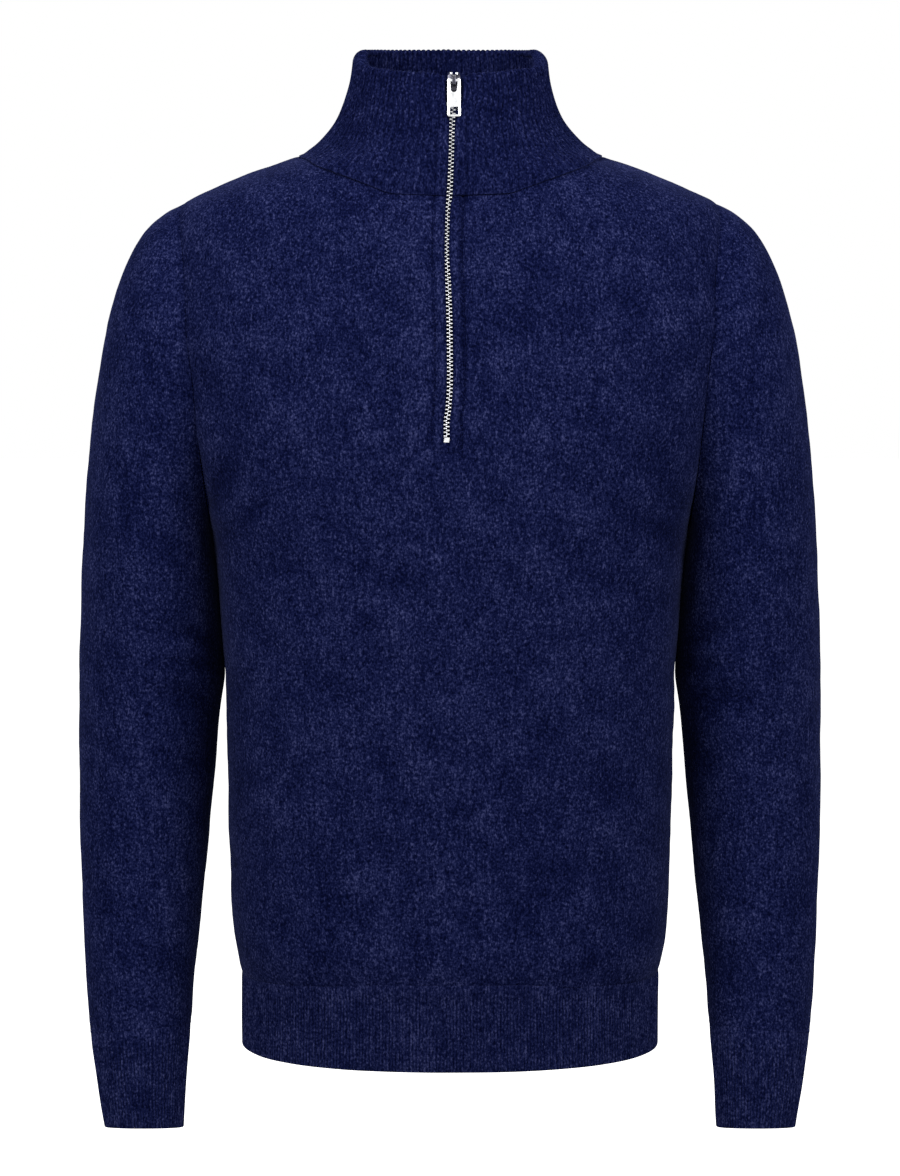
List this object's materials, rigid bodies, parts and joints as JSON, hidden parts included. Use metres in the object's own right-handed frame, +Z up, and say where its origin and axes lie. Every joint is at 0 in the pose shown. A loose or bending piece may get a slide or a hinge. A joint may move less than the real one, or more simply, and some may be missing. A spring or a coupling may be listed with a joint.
{
  "type": "quarter zip sweater",
  "caption": "Felted knit pullover with long sleeves, ribbed funnel collar, hem and cuffs, and a metal quarter zip, filled out as worn and hollow inside.",
  "frame": {"origin": "centre of the neck opening, midway between the two points where the collar seam meets the shoulder seams, where the wearer's neck and shoulders carry the sweater", "axes": "+Z up, -Y towards the sweater's front, +X towards the wearer's left"},
  "size_m": [0.552, 0.2383, 0.8034],
  "materials": {
    "felted_knit": "brushed and felted navy lambswool with paler heather fibres, matt with a soft nap",
    "ribbed_knit": "navy lambswool in one by one rib, brushed and matt",
    "zip_tape": "dark navy woven cotton tape",
    "zip_metal": "polished nickel plate over brass, darker on the slider"
  },
  "bodies": {
    "garment": {"front_body": "felted_knit", "back_body": "felted_knit", "sleeve_left": "felted_knit", "sleeve_right": "felted_knit", "collar": "ribbed_knit", "hem_rib_front": "ribbed_knit", "hem_rib_back": "ribbed_knit", "cuff_left": "ribbed_knit", "cuff_right": "ribbed_knit", "zip_tape_left": "zip_tape", "zip_tape_right": "zip_tape", "zip_teeth": "zip_metal", "zip_top_stop_left": "zip_metal", "zip_top_stop_right": "zip_metal", "zip_bottom_stop": "zip_metal", "zip_slider": "zip_metal"},
    "pull_tab": {"zip_pull": "zip_metal"}
  },
  "joints": [
    {"name": "pull_tab_hinge", "type": "hinge", "parent": "garment", "child": "pull_tab", "pos_m": [0.00285, -0.0708, 0.05283], "axis": [-1, 0, 0], "range_deg": [0, 170]}
  ]
}
